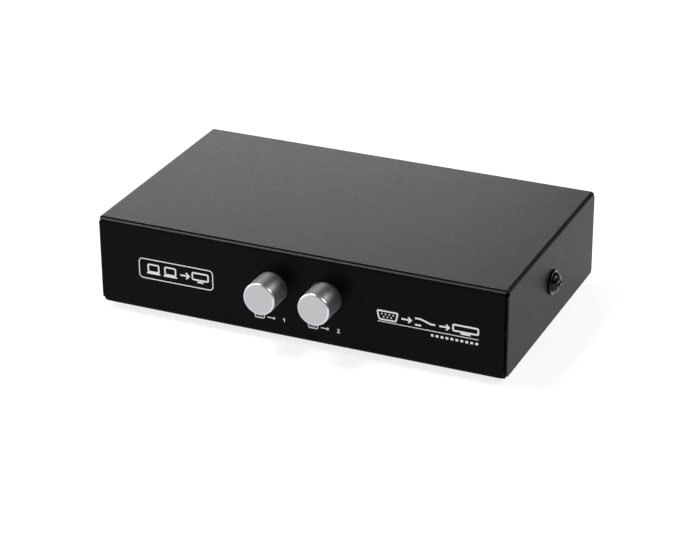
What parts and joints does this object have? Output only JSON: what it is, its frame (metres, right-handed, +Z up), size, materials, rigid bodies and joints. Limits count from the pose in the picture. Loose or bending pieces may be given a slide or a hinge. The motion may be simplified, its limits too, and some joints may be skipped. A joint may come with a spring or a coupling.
{
  "type": "kvm switch",
  "caption": "Flat black sheet-metal video switch box with silver push buttons on the front panel and D-shaped sockets with screw locks on the back.",
  "frame": {"origin": "bottom centre of the whole object at rest, button faces and jack screws included, on the plane the feet stand on", "axes": "+Z up, +X to the right along the front panel, the front panel faces -Y"},
  "size_m": [0.1348, 0.09, 0.03],
  "materials": {
    "black_powder_coat": "satin",
    "black_screw": "gloss",
    "black_rubber": "matte",
    "green_board": "satin",
    "brass_standoff": "satin",
    "zinc_screw": "satin",
    "nickel_shell": "satin",
    "blue_insulator": "satin",
    "gold_contact": "polished",
    "steel_bracket": "satin",
    "black_moulding": "matte",
    "phenolic_strip": "matte",
    "silver_terminal": "satin",
    "white_plunger": "satin",
    "spring_steel": "satin",
    "silver_cap": "satin",
    "white_ink": "matte"
  },
  "bodies": {
    "chassis": {"base_chassis": "black_powder_coat", "top_cover": "black_powder_coat", "left_side_screw": "black_screw", "right_side_screw": "black_screw", "rubber_feet": "black_rubber", "main_pcb": "green_board", "pcb_standoffs": "brass_standoff", "pcb_screws": "zinc_screw", "jack_screws": "nickel_shell", "interlock_bracket": "steel_bracket", "latch_spring": "spring_steel", "vga_shell_1": "nickel_shell", "vga_front_insulator_1": "blue_insulator", "vga_rear_insulator_1": "blue_insulator", "vga_contacts_1": "gold_contact", "vga_brackets_1": "steel_bracket", "vga_shell_2": "nickel_shell", "vga_front_insulator_2": "blue_insulator", "vga_rear_insulator_2": "blue_insulator", "vga_contacts_2": "gold_contact", "vga_brackets_2": "steel_bracket", "vga_shell_3": "nickel_shell", "vga_front_insulator_3": "blue_insulator", "vga_rear_insulator_3": "blue_insulator", "vga_contacts_3": "gold_contact", "vga_brackets_3": "steel_bracket", "switch_housing_1": "black_moulding", "terminal_board_1": "phenolic_strip", "switch_terminals_1": "silver_terminal", "return_spring_1": "spring_steel", "switch_housing_2": "black_moulding", "terminal_board_2": "phenolic_strip", "switch_terminals_2": "silver_terminal", "return_spring_2": "spring_steel"},
    "button_1": {"button_cap_1": "silver_cap", "plunger_1": "white_plunger", "sliding_contacts_1": "silver_terminal"},
    "button_2": {"button_cap_2": "silver_cap", "plunger_2": "white_plunger", "sliding_contacts_2": "silver_terminal"},
    "latch": {"latch_plate": "steel_bracket"}
  },
  "joints": [
    {"name": "button_1_press", "type": "slide", "parent": "chassis", "child": "button_1", "axis": [0, 1, 0], "range_m": [0, 0.0035], "stiffness_N_per_m": 500, "springref_m": -0.003, "deforming": ["return_spring_1"]},
    {"name": "button_2_press", "type": "slide", "parent": "chassis", "child": "button_2", "axis": [0, 1, 0], "range_m": [0, 0.0035], "stiffness_N_per_m": 500, "springref_m": -0.003, "deforming": ["return_spring_2"]},
    {"name": "latch_slide", "type": "slide", "parent": "chassis", "child": "latch", "axis": [-1, 0, 0], "range_m": [0, 0.0012], "stiffness_N_per_m": 200, "springref_m": -0.001, "deforming": ["latch_spring"]}
  ]
}
